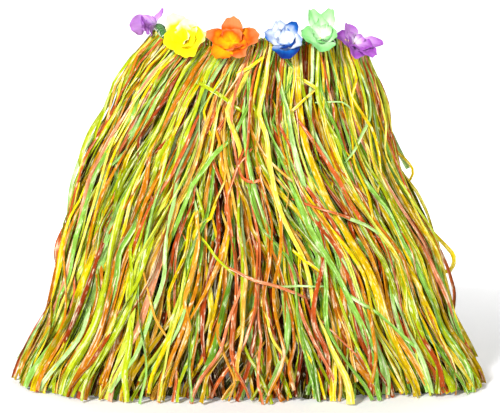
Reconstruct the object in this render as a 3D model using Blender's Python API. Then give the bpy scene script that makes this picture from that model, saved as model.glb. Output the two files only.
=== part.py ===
"""A child's party grass skirt, standing on its hem with no wearer, in metres, +Z up.

Turns go round the skirt from the middle of its front: 0 at the front (-Y), a quarter turn at the
right side (+X), half a turn at the back. Heights are shares of the waist cord's own height:
1 at the cord, 0 on the floor. Insets are measured inwards from the skirt's outer outline.
"""

import math
import random

import bmesh
import bpy
from mathutils import Matrix, Vector

# The outer outline: edges of the oval section at each share of the cord's height.
SECTIONS = (
    # height, left, right, front, back
    (1.00, -0.1010, 0.1285, -0.0925, 0.0525),
    (0.93, -0.1280, 0.1400, -0.0990, 0.0600),
    (0.85, -0.1530, 0.1510, -0.1035, 0.0680),
    (0.70, -0.1780, 0.1660, -0.1075, 0.0790),
    (0.55, -0.1920, 0.1860, -0.1105, 0.0890),
    (0.40, -0.2035, 0.2090, -0.1130, 0.0980),
    (0.20, -0.2230, 0.2300, -0.1155, 0.1080),
    (0.00, -0.2640, 0.2640, -0.1180, 0.1180),
)

CORD_HEIGHT = 0.364
CORD_LIFTS = (
    # turn in degrees, height of the cord's middle over or under CORD_HEIGHT
    (-180.0, 0.002),
    (-135.0, 0.008),
    (-90.0, 0.017),
    (-45.0, -0.001),
    (0.0, -0.002),
    (35.0, 0.002),
    (90.0, -0.013),
    (135.0, -0.004),
    (180.0, 0.002),
)
CORD_HALF_DEEP = 0.0050
CORD_HALF_TALL = 0.0034
CORD_INSET = 0.0066
CORD_LOOPS = 36
CORD_LOOP_SWELL = 0.10
CORD_PROFILE = (
    # outwards and upwards, as shares of the half sizes
    (1.0, 0.0),
    (0.6, 1.0),
    (-0.6, 1.0),
    (-1.0, 0.0),
    (-0.6, -1.0),
    (0.6, -1.0),
)

# Shallow folds all round, growing towards the hem.
FOLDS = (
    # folds in one round, depth at the hem, phase in radians
    (9, 0.0022, 0.4),
    (14, 0.0016, 2.1),
    (23, 0.0010, 4.0),
)

# Rows of points down the skirt, shared by the wall and the strands.
ROWS = (0.955, 0.86, 0.72, 0.54, 0.35, 0.16, 0.0)
WALL_TOP = 0.9885

PITCH_AT_CORD = 0.0019
PITCH_AT_HEM = 0.0030
SEAM_GAP = 0.0003

PANELS = 12
RIBS_PER_PANEL = 8
RIB_DEEP = 0.0009
WALL_THICK = 0.0028
WALL_CLEARANCE = 0.0016
INNER_SPANS = 4

STRANDS_PER_COLOUR = 48
STRAND_THICK = 0.0010
STRAND_WIDE_AT_CORD = 0.0044
STRAND_WIDE_AT_HEM = 0.0070
STRIP_THICK = 0.0011
STRIP_TOP = 0.9885
STRIP_FOOT = 0.966
# How far a row may stray sideways, as shares of the distance from strand to strand.
STRAND_WANDER = (0.0, 0.22, 0.26, 0.26, 0.24, 0.24, 0.30)
LAYER_DRIFT = 0.55
DRIFT_WAVES = 0.8
TIP_LOWEST = 0.0012
TIP_HIGHEST = 0.0120

LAYERS = (
    # name, colour, from the outermost layer inwards
    ("fringe_yellow", (0.93, 0.80, 0.03)),
    ("fringe_lime", (0.60, 0.78, 0.06)),
    ("fringe_orange", (0.90, 0.36, 0.04)),
    ("fringe_green", (0.38, 0.78, 0.30)),
    ("fringe_red", (0.80, 0.16, 0.08)),
)

FLOWERS = (
    # name, turn, tilt above level, turn of the face towards the front, half wide, half tall,
    # spin and colour, with the angles in degrees
    ("flower_purple_left", -84.0, 40.0, 14.0, 0.0180, 0.0235, 20.0, (0.52, 0.30, 0.85)),
    ("flower_yellow", -44.0, 32.0, 20.0, 0.0230, 0.0260, -30.0, (0.98, 0.88, 0.10)),
    ("flower_orange", -15.5, 22.0, 0.0, 0.0275, 0.0230, 0.0, (0.98, 0.42, 0.05)),
    ("flower_blue", 10.5, 20.0, 0.0, 0.0200, 0.0210, 36.0, (0.10, 0.25, 0.80)),
    ("flower_mint", 31.0, 36.0, -8.0, 0.0185, 0.0285, 10.0, (0.50, 0.90, 0.55)),
    ("flower_purple_right", 57.0, 32.0, -8.0, 0.0260, 0.0230, -20.0, (0.55, 0.35, 0.88)),
)
PETALS = 5
PETAL_STEPS = 4
PETAL_NOTCH = 0.30
PETAL_THICK = 0.0010
FLOWER_CUP = 0.0120
FLOWER_THROAT = 0.0030
FLOWER_BEND = (0.55, 0.62)  # where the petals turn outwards, as shares of the reach and of the cup
FLOWER_CLEARANCE = 0.0005
# The throat's place on the cord, up and inwards, as shares of the cord's half height and half depth.
FLOWER_SEAT = (0.5, 0.2)
FILM_ROUGHNESS = 0.45
CLOTH_ROUGHNESS = 0.60
YARN_ROUGHNESS = 0.70

SEED = 11
TAU = 2.0 * math.pi


def clear_scene():
    for obj in list(bpy.data.objects):
        bpy.data.objects.remove(obj, do_unlink=True)


def material(name, colour, roughness):
    made = bpy.data.materials.new(name)
    made.use_nodes = True
    shader = made.node_tree.nodes["Principled BSDF"]
    shader.inputs["Base Color"].default_value = (*colour, 1.0)
    shader.inputs["Roughness"].default_value = roughness
    shader.inputs["Metallic"].default_value = 0.0
    return made


def add_object(name, mesh_builder, colour, roughness=FILM_ROUGHNESS, smooth_degrees=35.0):
    mesh = bpy.data.meshes.new(name)
    mesh_builder.normal_update()
    mesh_builder.to_mesh(mesh)
    mesh_builder.free()
    mesh.shade_smooth()
    mesh.set_sharp_from_angle(angle=math.radians(smooth_degrees))
    obj = bpy.data.objects.new(name, mesh)
    obj.data.materials.append(material(name, colour, roughness))
    bpy.context.scene.collection.objects.link(obj)
    return obj


def mix(start, end, share):
    return start + (end - start) * share


def section(height):
    """The outline's left, right, front and back edges, on a smooth curve through the table."""
    last = len(SECTIONS) - 1
    row = 0
    while row < last - 1 and height < SECTIONS[row + 1][0]:
        row += 1
    before = SECTIONS[max(row - 1, 0)]
    start, end = SECTIONS[row], SECTIONS[row + 1]
    after = SECTIONS[min(row + 2, last)]
    share = (height - start[0]) / (end[0] - start[0])
    edges = []
    for column in range(1, 5):
        p0, p1, p2, p3 = before[column], start[column], end[column], after[column]
        bend = (2 * p0 - 5 * p1 + 4 * p2 - p3) * share**2 + (3 * p1 - p0 - 3 * p2 + p3) * share**3
        edges.append(0.5 * (2 * p1 + (p2 - p0) * share + bend))
    return edges


def cord_height(turn):
    degrees = (math.degrees(turn) + 180.0) % 360.0 - 180.0
    for (start, low), (end, high) in zip(CORD_LIFTS, CORD_LIFTS[1:]):
        if degrees <= end:
            share = (degrees - start) / (end - start)
            ease = 0.5 - 0.5 * math.cos(math.pi * share)
            return CORD_HEIGHT + mix(low, high, ease)
    return CORD_HEIGHT + CORD_LIFTS[-1][1]


def fold(turn, height):
    return sum((1.0 - height) * deep * math.sin(count * turn + phase) for count, deep, phase in FOLDS)


def pitch(height):
    """From one layer of strands to the next, outwards."""
    return mix(PITCH_AT_CORD, PITCH_AT_HEM, 1.0 - height)


def frame_at(turn, height, inset):
    """A point inside the outline, the level direction along it and the one out of it."""
    left, right, front, back = section(height)
    half_wide = 0.5 * (right - left)
    half_deep = 0.5 * (back - front)
    middle = Vector((0.5 * (left + right), 0.5 * (front + back), height * cord_height(turn)))
    spot = middle + Vector((half_wide * math.sin(turn), -half_deep * math.cos(turn), 0.0))
    out = Vector((math.sin(turn) / half_wide, -math.cos(turn) / half_deep, 0.0)).normalized()
    along = Vector((-out.y, out.x, 0.0))
    return spot + out * (fold(turn, height) - inset), along, out


def even_turns(steps=720):
    """Turns at even distances round the section at half height."""
    lengths = [0.0]
    for step in range(steps):
        start = frame_at(TAU * step / steps, 0.5, 0.0)[0]
        end = frame_at(TAU * (step + 1) / steps, 0.5, 0.0)[0]
        lengths.append(lengths[-1] + (end.xy - start.xy).length)
    return [length / lengths[-1] for length in lengths]


EVEN = even_turns()


def turn_at(share):
    """The turn that lies this share of the way round, by distance."""
    whole, part = divmod(share, 1.0)
    steps = len(EVEN) - 1
    low, high = 0, steps
    while high - low > 1:
        middle = (low + high) // 2
        if EVEN[middle] <= part:
            low = middle
        else:
            high = middle
    inside = (part - EVEN[low]) / (EVEN[high] - EVEN[low])
    return TAU * (whole + (low + inside) / steps)


def make_waistband():
    """The cord that every strand is looped on: a flat-bottomed oval, swelling at each loop."""
    build = bmesh.new()
    count = 2 * CORD_LOOPS
    rings = []
    for step in range(count):
        turn = turn_at(step / count)
        spot, _, out = frame_at(turn, 1.0, CORD_INSET)
        swell = 1.0 + (CORD_LOOP_SWELL if step % 2 else 0.0)
        ring = []
        for deep, tall in CORD_PROFILE:
            up = tall * CORD_HALF_TALL * (swell if tall > 0 else 1.0)
            place = spot + out * (deep * CORD_HALF_DEEP * swell) + Vector((0.0, 0.0, up))
            ring.append(build.verts.new(place))
        rings.append(ring)
    sides = len(CORD_PROFILE)
    for step in range(count):
        here, following = rings[step], rings[(step + 1) % count]
        for side in range(sides):
            across = (side + 1) % sides
            build.faces.new((here[side], following[side], following[across], here[across]))
    return add_object("waistband", build, (0.16, 0.42, 0.16), roughness=YARN_ROUGHNESS)


def wall_inset(height):
    return len(LAYERS) * pitch(height) + WALL_CLEARANCE


def close_rim(build, outer, inner):
    """The faces between a wall's outer and inner edge, fanned from each inner point."""
    spans = (len(outer) - 1) // (len(inner) - 1)
    half = spans // 2
    for step in range(len(inner) - 1):
        first = step * spans
        middle = first + half
        for point in range(first, middle):
            build.faces.new((inner[step], outer[point], outer[point + 1]))
        build.faces.new((inner[step], outer[middle], inner[step + 1]))
        for point in range(middle, first + spans):
            build.faces.new((inner[step + 1], outer[point], outer[point + 1]))


def make_panel(index):
    """One stretch of the packed inner ribbons: ribbed outside, plain inside, flat on the floor."""
    build = bmesh.new()
    heights = (WALL_TOP,) + ROWS[1:]
    outer_spans = 2 * RIBS_PER_PANEL
    outer_rows, inner_rows = [], []
    for height in heights:
        left, right, front, back = section(height)
        round_length = math.pi * 0.5 * ((right - left) + (back - front))
        edge = 0.5 * SEAM_GAP / round_length
        start = index / PANELS + edge
        end = (index + 1) / PANELS - edge
        outer, inner = [], []
        for step in range(outer_spans + 1):
            turn = turn_at(mix(start, end, step / outer_spans))
            groove = 0.0 if step % 2 else RIB_DEEP
            spot = frame_at(turn, height, wall_inset(height) + groove)[0]
            outer.append(build.verts.new(spot))
        for step in range(INNER_SPANS + 1):
            turn = turn_at(mix(start, end, step / INNER_SPANS))
            spot = frame_at(turn, height, wall_inset(height) + WALL_THICK)[0]
            inner.append(build.verts.new(spot))
        outer_rows.append(outer)
        inner_rows.append(inner)
    for row in range(len(heights) - 1):
        over, under = outer_rows[row], outer_rows[row + 1]
        for step in range(outer_spans):
            build.faces.new((over[step], under[step], under[step + 1], over[step + 1]))
        over, under = inner_rows[row], inner_rows[row + 1]
        for step in range(INNER_SPANS):
            build.faces.new((over[step + 1], under[step + 1], under[step], over[step]))
        build.faces.new(
            (inner_rows[row][0], inner_rows[row + 1][0], outer_rows[row + 1][0], outer_rows[row][0])
        )
        build.faces.new(
            (outer_rows[row][-1], outer_rows[row + 1][-1], inner_rows[row + 1][-1], inner_rows[row][-1])
        )
    for outer, inner in ((outer_rows[0], inner_rows[0]), (outer_rows[-1], inner_rows[-1])):
        close_rim(build, outer, inner)
    bmesh.ops.recalc_face_normals(build, faces=build.faces)
    return add_object(f"inner_ribbons_{index + 1:02d}", build, (0.42, 0.50, 0.06))


def strand_share(layer, strand):
    """How far round the skirt a strand is looped on, its layer staggered against the others."""
    stagger = (2 * layer % len(LAYERS)) / len(LAYERS)
    return (strand + stagger) / STRANDS_PER_COLOUR


def strand_rows(layer, strand, draw, drift):
    """Each row's share of the way round and height, from under the strip down to the cut tip."""
    tip = draw.uniform(TIP_LOWEST, TIP_HIGHEST) / CORD_HEIGHT
    rows = []
    for row in range(1, len(ROWS)):
        wander = STRAND_WANDER[row] * draw.uniform(-1.0, 1.0)
        share = strand_share(layer, strand) + (wander + drift[row]) / STRANDS_PER_COLOUR
        height = ROWS[row] if row < len(ROWS) - 1 else tip
        rows.append((share, height))
    return rows


def make_fringe(layer, draw):
    """One colour's strands, hanging from a narrow strip that runs round under the cord."""
    name, colour = LAYERS[layer]
    build = bmesh.new()
    step_inset = layer + 1
    phase = draw.random()
    drift = [
        LAYER_DRIFT * math.sqrt(1.0 - height) * math.sin(TAU * (phase + DRIFT_WAVES * height))
        for height in ROWS
    ]
    inner_foot, inner_top, outer_foot = [], [], []
    for strand in range(STRANDS_PER_COLOUR):
        share = strand_share(layer, strand)
        turn = turn_at(share)
        spot, along, out = frame_at(turn, STRIP_FOOT, step_inset * pitch(STRIP_FOOT))
        half = 0.5 * STRAND_WIDE_AT_CORD
        top_spot, top_along, top_out = frame_at(turn, STRIP_TOP, step_inset * pitch(STRIP_TOP))
        gap_turn = turn_at(share + 0.5 / STRANDS_PER_COLOUR)
        gap_spot, _, gap_out = frame_at(gap_turn, STRIP_FOOT, step_inset * pitch(STRIP_FOOT))
        for side in (-1.0, 1.0):
            inner_foot.append(build.verts.new(spot + along * (side * half)))
            inner_top.append(
                build.verts.new(top_spot + top_along * (side * half) + top_out * (0.5 * STRIP_THICK))
            )
        outer_foot.append(build.verts.new(spot + out * STRAND_THICK))
        outer_foot.append(build.verts.new(gap_spot + gap_out * STRIP_THICK))
    count = 2 * STRANDS_PER_COLOUR
    for point in range(count):
        beyond = (point + 1) % count
        build.faces.new((inner_foot[point], inner_top[point], inner_top[beyond], inner_foot[beyond]))
        build.faces.new((inner_top[point], outer_foot[point], inner_top[beyond]))
        build.faces.new((inner_top[beyond], outer_foot[point], outer_foot[beyond]))
        if point % 2:
            build.faces.new((inner_foot[point], inner_foot[beyond], outer_foot[point]))
        build.faces.new((inner_foot[beyond], outer_foot[beyond], outer_foot[point]))
    for strand in range(STRANDS_PER_COLOUR):
        above = (inner_foot[2 * strand], inner_foot[2 * strand + 1], outer_foot[2 * strand])
        for share, height in strand_rows(layer, strand, draw, drift):
            spot, along, out = frame_at(turn_at(share), height, step_inset * pitch(height))
            half = 0.5 * mix(STRAND_WIDE_AT_HEM, STRAND_WIDE_AT_CORD, height)
            below = (
                build.verts.new(spot - along * half),
                build.verts.new(spot + along * half),
                build.verts.new(spot + out * STRAND_THICK),
            )
            for side in range(3):
                across = (side + 1) % 3
                build.faces.new((above[side], above[across], below[across], below[side]))
            above = below
        build.faces.new(above)
    bmesh.ops.recalc_face_normals(build, faces=build.faces)
    return add_object(name, build, colour, smooth_degrees=20.0)


def petal_reach(angle):
    """The flower's reach at this angle, as a share of its size: round lobes parted by notches."""
    lobe = abs(math.sin(0.5 * PETALS * angle))
    return 1.0 - PETAL_NOTCH * (1.0 - lobe) ** 1.5


def make_flower(name, turn_degrees, tilt, face, half_wide, half_tall, spin, colour):
    """A cupped five-petal flower whose throat sits on the cord's outer face."""
    build = bmesh.new()
    turn = math.radians(turn_degrees)
    spot, along, out = frame_at(turn, 1.0, CORD_INSET - CORD_HALF_DEEP * (1.0 + CORD_LOOP_SWELL))
    up = Vector((0.0, 0.0, 1.0))
    seat_up, seat_in = FLOWER_SEAT
    seat = up * (seat_up * CORD_HALF_TALL) - out * (seat_in * CORD_HALF_DEEP)
    facing = Matrix.Rotation(math.radians(face), 3, up)
    out, along = facing @ out, facing @ along
    lift = math.radians(tilt)
    axis = out * math.cos(lift) + up * math.sin(lift)
    rise = up * math.cos(lift) - out * math.sin(lift)
    base = spot + seat + axis * FLOWER_CLEARANCE
    count = PETALS * PETAL_STEPS
    rings = ((FLOWER_THROAT / half_wide, 0.0), FLOWER_BEND, (1.0, 1.0))

    def place(reach_share, cup_share, angle, lifted):
        reach = petal_reach(angle - math.radians(spin))
        wide = along * (half_wide * math.sin(angle))
        tall = rise * (half_tall * math.cos(angle))
        depth = FLOWER_CUP * cup_share + lifted
        return base + (wide + tall) * (reach * reach_share) + axis * depth

    faces_by_side = []
    for lifted in (0.0, PETAL_THICK):
        loops = []
        for reach_share, cup_share in rings:
            loop = []
            for step in range(count):
                angle = TAU * step / count
                loop.append(build.verts.new(place(reach_share, cup_share, angle, lifted)))
            loops.append(loop)
        faces_by_side.append(loops)
        build.faces.new(loops[0])
        for near, far in zip(loops, loops[1:]):
            for step in range(count):
                after = (step + 1) % count
                build.faces.new((near[step], near[after], far[after], far[step]))
    under, over = faces_by_side[0][-1], faces_by_side[1][-1]
    for step in range(count):
        after = (step + 1) % count
        build.faces.new((under[step], under[after], over[after], over[step]))
    bmesh.ops.triangulate(build, faces=[face for face in build.faces if len(face.verts) > 4])
    bmesh.ops.recalc_face_normals(build, faces=build.faces)
    return add_object(name, build, colour, roughness=CLOTH_ROUGHNESS)


def main():
    clear_scene()
    draw = random.Random(SEED)
    make_waistband()
    for index in range(PANELS):
        make_panel(index)
    for layer in range(len(LAYERS)):
        make_fringe(layer, draw)
    for flower in FLOWERS:
        make_flower(*flower)


main()
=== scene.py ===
"""Looks of a child's grass skirt: film ribbons, braided waist cord and cloth flowers, in metres.

Turns go round the skirt from the middle of its front, heights are shares of the waist cord's own
height, and insets are measured inwards from the outer outline.
"""

import math

import bpy
import numpy as np
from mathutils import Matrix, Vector


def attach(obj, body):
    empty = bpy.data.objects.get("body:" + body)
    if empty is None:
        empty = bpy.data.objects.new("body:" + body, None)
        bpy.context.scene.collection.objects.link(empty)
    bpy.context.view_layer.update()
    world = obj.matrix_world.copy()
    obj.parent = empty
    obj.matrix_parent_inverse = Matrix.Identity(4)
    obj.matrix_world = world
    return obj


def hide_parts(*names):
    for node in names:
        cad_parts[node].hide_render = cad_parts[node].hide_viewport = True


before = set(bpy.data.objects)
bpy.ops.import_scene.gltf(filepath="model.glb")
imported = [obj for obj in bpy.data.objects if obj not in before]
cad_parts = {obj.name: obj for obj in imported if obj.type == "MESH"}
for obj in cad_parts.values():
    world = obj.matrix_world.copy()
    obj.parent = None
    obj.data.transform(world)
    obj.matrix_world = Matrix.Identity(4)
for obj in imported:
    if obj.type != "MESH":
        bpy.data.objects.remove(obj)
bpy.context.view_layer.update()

TAU = 2.0 * math.pi
MM = 0.001

# The skirt's outer outline: edges of the oval section at each share of the cord's height.
SECTIONS = np.array((
    # height, left, right, front, back
    (0.00, -0.2640, 0.2640, -0.1180, 0.1180),
    (0.20, -0.2230, 0.2300, -0.1155, 0.1080),
    (0.40, -0.2035, 0.2090, -0.1130, 0.0980),
    (0.55, -0.1920, 0.1860, -0.1105, 0.0890),
    (0.70, -0.1780, 0.1660, -0.1075, 0.0790),
    (0.85, -0.1530, 0.1510, -0.1035, 0.0680),
    (0.93, -0.1280, 0.1400, -0.0990, 0.0600),
    (1.00, -0.1010, 0.1285, -0.0925, 0.0525),
))
CORD_HEIGHT = 0.364
CORD_LIFTS = np.array((
    # turn in degrees, height of the cord's middle over or under CORD_HEIGHT
    (-180.0, 0.002),
    (-135.0, 0.008),
    (-90.0, 0.017),
    (-45.0, -0.001),
    (0.0, -0.002),
    (35.0, 0.002),
    (90.0, -0.013),
    (135.0, -0.004),
    (180.0, 0.002),
))
FOLDS = (
    # folds in one round, depth at the hem, phase in radians
    (9, 0.0022, 0.4),
    (14, 0.0016, 2.1),
    (23, 0.0010, 4.0),
)
CORD_HALF_DEEP = 0.0050
CORD_HALF_TALL = 0.0034
CORD_INSET = 0.0066
WALL_INSET_AT_CORD = 0.0111
WALL_INSET_AT_HEM = 0.0166

# Ribbons of each colour in the outer layers, how wide they are cut against the mean, and the
# tints of that colour from dark to pale; deeper ribbons take darker tints as painted shade.
COLOURS = {
    # name: (node, slot, ribbons, cut, tints)
    "yellow": ("fringe_yellow", "ribbon_yellow", 230, 1.10, (
        (0.36, 0.20, 0.002), (0.76, 0.51, 0.003), (0.94, 0.76, 0.006), (0.97, 0.91, 0.13))),
    "lime": ("fringe_lime", "ribbon_lime", 176, 1.0, (
        (0.14, 0.20, 0.002), (0.39, 0.50, 0.004), (0.58, 0.74, 0.012), (0.80, 0.93, 0.14))),
    "green": ("fringe_green", "ribbon_green", 124, 1.10, (
        (0.06, 0.17, 0.008), (0.21, 0.47, 0.035), (0.33, 0.68, 0.11), (0.60, 0.90, 0.42))),
    "orange": ("fringe_orange", "ribbon_orange", 136, 0.90, (
        (0.22, 0.045, 0.002), (0.58, 0.17, 0.005), (0.80, 0.32, 0.008), (0.94, 0.60, 0.09))),
    "red": ("fringe_red", "ribbon_red", 116, 0.86, (
        (0.14, 0.012, 0.003), (0.50, 0.075, 0.008), (0.74, 0.170, 0.040), (0.86, 0.37, 0.21))),
}
CUTS = (0.0042, 0.0056, 0.0071, 0.0086)
CUT_CHANCES = (0.26, 0.34, 0.27, 0.13)
OUTERMOST_WIDER = 1.22
# Where a colour's ribbons are closer together than elsewhere, or farther apart where it is negative.
RICHER = {
    # name: turn and its spread in degrees, how much more frequent
    "yellow": ((-56.0, 30.0, -0.25), (-2.0, 13.0, -0.6), (22.0, 10.0, -0.4), (34.0, 8.0, -0.3),
               (56.0, 20.0, 0.2)),
    "lime": ((-56.0, 30.0, 0.5), (-2.0, 13.0, -0.5), (22.0, 10.0, -0.3), (48.0, 12.0, 0.7)),
    "green": ((-2.0, 12.0, -0.5), (22.0, 10.0, 1.7)),
    "orange": ((-72.0, 18.0, -0.3), (-4.0, 13.0, 0.8), (22.0, 10.0, -0.4), (56.0, 24.0, -0.4)),
    "red": ((-1.0, 11.0, 2.0), (34.0, 8.0, 1.3)),
}
INNER_RIBBONS = 420
# Share to which the inner ribbons' tints are dimmed: painted shade for the shadow inside the skirt.
INNER_PAINTED_SHADE = 0.17
OUTER_STATIONS = 38
INNER_STATIONS = 22
RIBBON_THICK = 0.00012
PLEATS = {
    # heights of five columns across the ribbon, in steps
    "w": (0.0, 1.0, 0.0, 1.0, 0.0),
    "v": (0.0, 1.0, 2.0, 1.0, 0.0),
    "n": (0.0, 1.0, 0.3, 0.9, 1.3),
    "channel": (1.2, 0.3, 0.0, 0.5, 1.5),
    "step": (0.0, 0.6, 1.4, 0.9, 0.2),
}
MOST_PLEAT = 0.0013

# How a hanging ribbon wanders: metres sideways, and shares of its length between its bends.
SLANT_SPREAD = 0.015
MOST_SLANT = 0.042
WILD_SPREAD = 0.45
MOST_WILD = 1.6
SHORT_BENDS = (0.06, 0.13)
SHORT_BEND_REACH = 0.0050
LONG_BENDS = (0.20, 0.42)
LONG_BEND_REACH = 0.0066
TIP_SWING = 0.006
SWAY = 0.0052
# How it wanders outwards, in metres, within the room between the outline and the wall.
LIFT = 0.0016
OUTWARD_BENDS = (0.08, 0.20)
OUTWARD_REACH = 0.0015
OUTERMOST_INSET = 0.0004
WALL_ROOM = 0.0012
# How far it is opened, as shares of its cut width, and how it is turned, in degrees.
UPPER_OPENED = (0.34, 0.60)
LOWER_OPENED = (0.54, 0.94)
OPENED_REACH = 0.17
OPENED_AT_CORD = 0.42
LEAST_OPENED = 0.20
MOST_OPENED = 0.97
ROLL_SPREAD = 28.0
ROLL_REACH = 32.0
LOOPED_DEPTH = 0.6
LOOPED_CHANCE = 0.75
SHORT_CHANCE = 0.20
SHORT_TIPS = (0.008, 0.024)
USUAL_TIP_LIFT = 0.006
INNER_CUTS = (0.0062, 0.0092)
INNER_DEPTHS = (0.96, 1.24)
# Neighbouring ribbons are drawn together into this many bundles.
GROUPS = 96
BUNCHING = 0.66

# The front ribbons part near the middle and fan out to both sides on the way down.
PARTING = -6.0
FAN_REACH = 0.046
FAN_WIDE = 0.27
FAN_START = 0.10
FAN_END = 0.64
FRONT_SPLAY = 0.018
SIDE_SPLAY = 0.003
# Where the ribbons hang closer to the wearer than the outline, or farther out where it is negative.
TRIMS = (
    # turn and its spread in degrees, height and its spread, millimetres inwards
    (-90.0, 34.0, 0.79, 0.14, 20.0),
    (-84.0, 22.0, 0.00, 0.14, 9.0),
    (84.0, 17.0, 0.00, 0.16, 19.0),
    (90.0, 34.0, 0.70, 0.20, 7.0),
    (60.0, 16.0, 0.00, 0.16, -15.0),
)
LOWEST_TIP = 0.0006
# The outline is an oval at the cord and squarer at the hem, where its power is this much higher.
HEM_SQUARENESS = 0.5
# Between these turns no ribbon is looped over the cord, so its braid shows.
BARE_CORD = (-106.0, -60.0)

# Ribbons that lie across the others on the front.
CROSSINGS = (
    # colour, width in millimetres, turns in degrees and heights along it
    ("lime", 4.0, ((-14, 0.465), (-12, 0.446), (-9, 0.411), (-5, 0.373))),
    ("red", 4.5, ((-6, 0.381), (0, 0.35), (5, 0.33), (10, 0.304))),
    ("red", 3.5, ((18, 0.559), (22, 0.546), (27, 0.527), (33, 0.502))),
    ("green", 4.5, ((32, 0.508), (36, 0.49), (40, 0.469), (42, 0.446))),
    ("lime", 5.0, ((-23, 0.896), (-18, 0.88), (-10, 0.856), (-3, 0.824))),
    ("yellow", 4.0, ((-6, 0.925), (-3, 0.936), (1, 0.958))),
    ("yellow", 4.0, ((18, 0.818), (22, 0.841), (26, 0.864))),
    ("yellow", 5.5, ((20, 0.896), (25, 0.881), (29, 0.863), (29, 0.811))),
    ("green", 2.2, ((30, 0.83), (38, 0.829), (43, 0.813))),
    ("green", 4.0, ((54, 0.918), (56, 0.852), (54, 0.796), (46, 0.736), (40, 0.682))),
    ("green", 7.5, ((10, 0.912), (15, 0.817), (17, 0.725), (18, 0.664), (19, 0.611))),
    ("green", 7.5, ((15, 0.597), (17, 0.527), (19, 0.442), (22, 0.357), (25, 0.24), (28, 0.12))),
    ("red", 5.5, ((20, 0.776), (26, 0.702), (32, 0.614), (34, 0.546), (37, 0.481))),
    ("orange", 3.0, ((-31, 0.386), (-26, 0.286), (-23, 0.234), (-19, 0.188))),
    ("red", 2.6, ((16, 0.213), (19, 0.169), (22, 0.128), (25, 0.093))),
    ("green", 5.0, ((25, 0.296), (31, 0.246), (36, 0.2), (41, 0.144))),
    ("green", 3.0, ((6, 0.327), (11, 0.331), (17, 0.328))),
    ("yellow", 4.0, ((13, 0.409), (15, 0.388), (17, 0.367))),
    ("green", 6.0, ((-6, 0.73), (-10, 0.699), (-13, 0.66), (-17, 0.61), (-22, 0.487))),
    ("red", 4.5, ((-18, 0.798), (-20, 0.723), (-24, 0.639), (-31, 0.554), (-35, 0.454))),
    ("yellow", 4.5, ((-10, 0.555), (-11, 0.524), (-15, 0.499), (-16, 0.47))),
    ("red", 4.0, ((0, 0.711), (-2, 0.675), (-1, 0.639), (2, 0.617), (4, 0.622))),
    ("red", 3.6, ((2, 0.705), (-2, 0.664), (-6, 0.573), (-5, 0.484))),
    ("orange", 3.4, ((3, 0.755), (6, 0.705), (10, 0.668), (15, 0.624))),
)
CROSSING_OUT = 1.2
CROSSING_NARROWER = 0.72
# Ribbons that bow away from the others at both sides.
FLYAWAYS = (
    # colour, width in millimetres, turns in degrees, heights and distances out in millimetres
    ("lime", 3.6, ((-84, 0.93, -1), (-84, 0.87, 5), (-84, 0.8, 8), (-84, 0.7, 0))),
    ("lime", 4.4, ((-86, 0.86, 0), (-86, 0.79, 6), (-87, 0.72, 8), (-88, 0.62, 0))),
    ("orange", 2.3, ((-82, 0.9, -2), (-82, 0.84, 4), (-83, 0.79, 3), (-84, 0.74, -3))),
    ("green", 4.4, ((-92, 0.76, 0), (-92, 0.66, 3), (-92, 0.56, 3), (-92, 0.45, -1))),
    ("red", 4.4, ((-86, 0.44, -1), (-86, 0.4, 3), (-86, 0.36, 3), (-86, 0.32, -2))),
    ("red", 2.6, ((86, 0.94, 0), (86, 0.88, 3), (86, 0.8, 2), (86, 0.74, -2))),
    ("red", 2.6, ((82, 0.79, -1), (84, 0.74, 2), (84, 0.7, 1), (82, 0.64, -2))),
    ("yellow", 4.8, ((98, 0.48, -2), (98, 0.425, 9), (97, 0.385, 18), (97, 0.348, 19),
                     (97, 0.318, 10), (97, 0.32, -6))),
    ("yellow", 3.4, ((96, 0.66, -2), (97, 0.58, 9), (97, 0.51, 10), (98, 0.44, 6),
                     (98, 0.38, -2))),
    ("yellow", 3.4, ((96, 0.72, -2), (96, 0.685, 9), (96, 0.645, 17), (96, 0.62, 8),
                     (96, 0.605, -3))),
    ("red", 3.9, ((92, 0.42, 0), (92, 0.34, 5), (92, 0.26, 7), (91, 0.19, 0))),
)
# Ribbons whose cut ends stand away from the others.
STRAY_ENDS = (
    ("green", 5.2, ((97, 0.79, -2), (97, 0.74, 5), (97, 0.69, 8), (97, 0.65, 10))),
    ("yellow", 5.9, ((108, 0.33, -2), (109, 0.25, 5), (110, 0.17, 11), (111, 0.11, 16))),
    ("yellow", 5.2, ((104, 0.28, -2), (104, 0.2, 3), (105, 0.13, 7), (106, 0.06, 12))),
    ("yellow", 5.9, ((98, 0.24, -2), (99, 0.16, 3), (100, 0.09, 6), (100, 0.03, 9))),
    ("red", 5.2, ((-90, 0.19, -2), (-91, 0.13, 2), (-92, 0.08, 5), (-93, 0.045, 7))),
    ("green", 3.4, ((-88, 0.2, -2), (-87, 0.14, 2), (-86, 0.09, 3), (-86, 0.055, 5))),
)
PLACED_SPACING = 0.006
PLACED_OPENED = 0.90
TO_FRONT = np.array((0.0, -1.0, 0.0))
DIP_LENGTH = 0.016
DIP_DEPTH = 0.010

# Three strands are braided round the waist, and a pale thread is stitched through them.
PLAITS = 46
PLAIT_STEPS = 16
STRAND_RADIUS = 0.0019
STRAND_SWING_OUT = 0.0024
STRAND_SWING_UP = 0.0021
STITCH_POINTS = 5
STITCH_HALF_SHARE = 0.0028
STITCH_OUT = 0.0048
STITCH_BOW = 0.0011
STITCH_RISE = 0.0020
STITCH_RADIUS = 0.00045

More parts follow.
